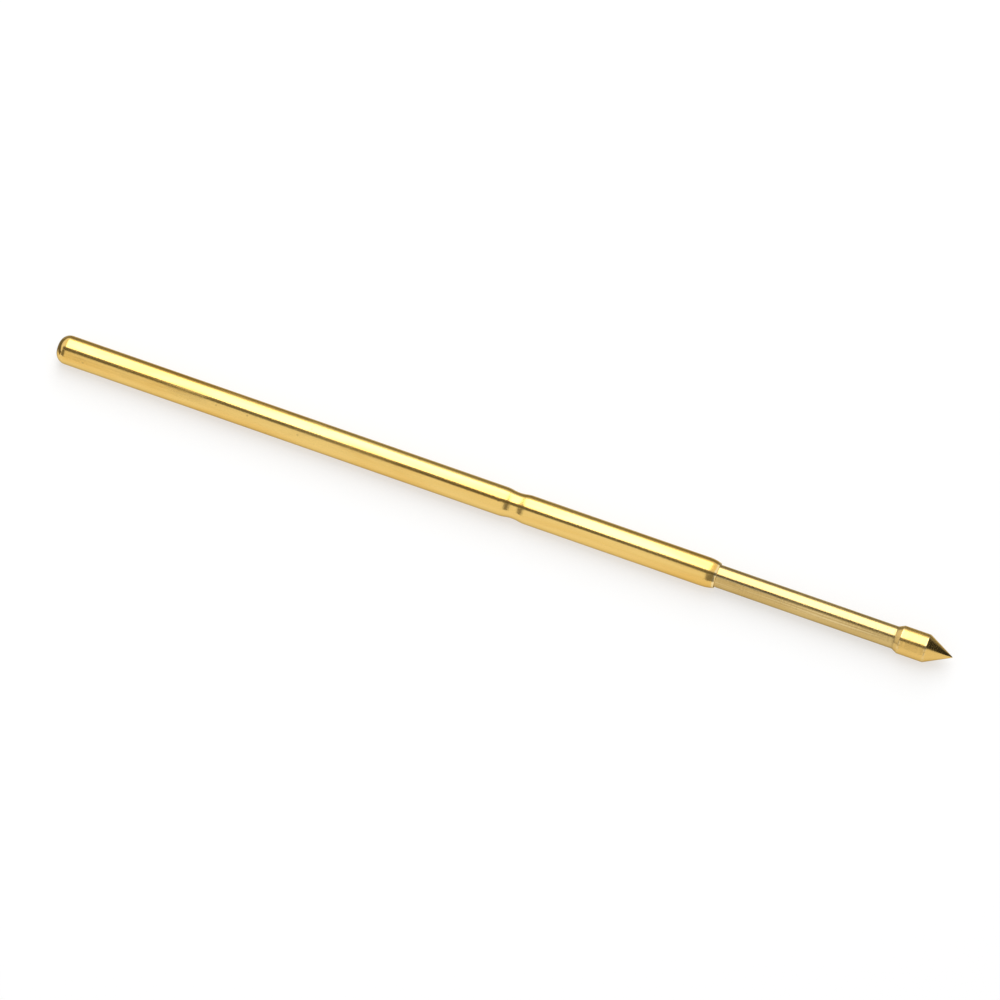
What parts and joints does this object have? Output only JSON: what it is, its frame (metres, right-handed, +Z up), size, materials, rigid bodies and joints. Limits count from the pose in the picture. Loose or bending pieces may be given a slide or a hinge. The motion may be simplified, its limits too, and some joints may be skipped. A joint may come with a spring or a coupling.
{
  "type": "spring-loaded test probe tip",
  "caption": "Thin gold-plated test tip: a pointed plunger slides in a closed barrel with a rolled crimp and springs back out on an inner coil spring.",
  "frame": {"origin": "centre of the closed tail's flat end face, on the axis", "axes": "+X along the axis from the tail to the point; the part is round about X, and +Z is up as it lies on a bench"},
  "size_m": [0.033, 0.001, 0.001],
  "materials": {
    "barrel_gold": "bright gold plating on drawn copper alloy",
    "plunger_gold": "gold plating on a turned pin, slightly duller than the barrel",
    "spring_steel": "drawn spring wire"
  },
  "bodies": {
    "barrel": {"barrel": "barrel_gold", "spring": "spring_steel"},
    "plunger": {"plunger": "plunger_gold"}
  },
  "joints": [
    {"name": "plunger_slide", "type": "slide", "parent": "barrel", "child": "plunger", "axis": [-1, 0, 0], "range_m": [0, 0.00635], "stiffness_N_per_m": 245, "deforming": ["spring"]}
  ]
}
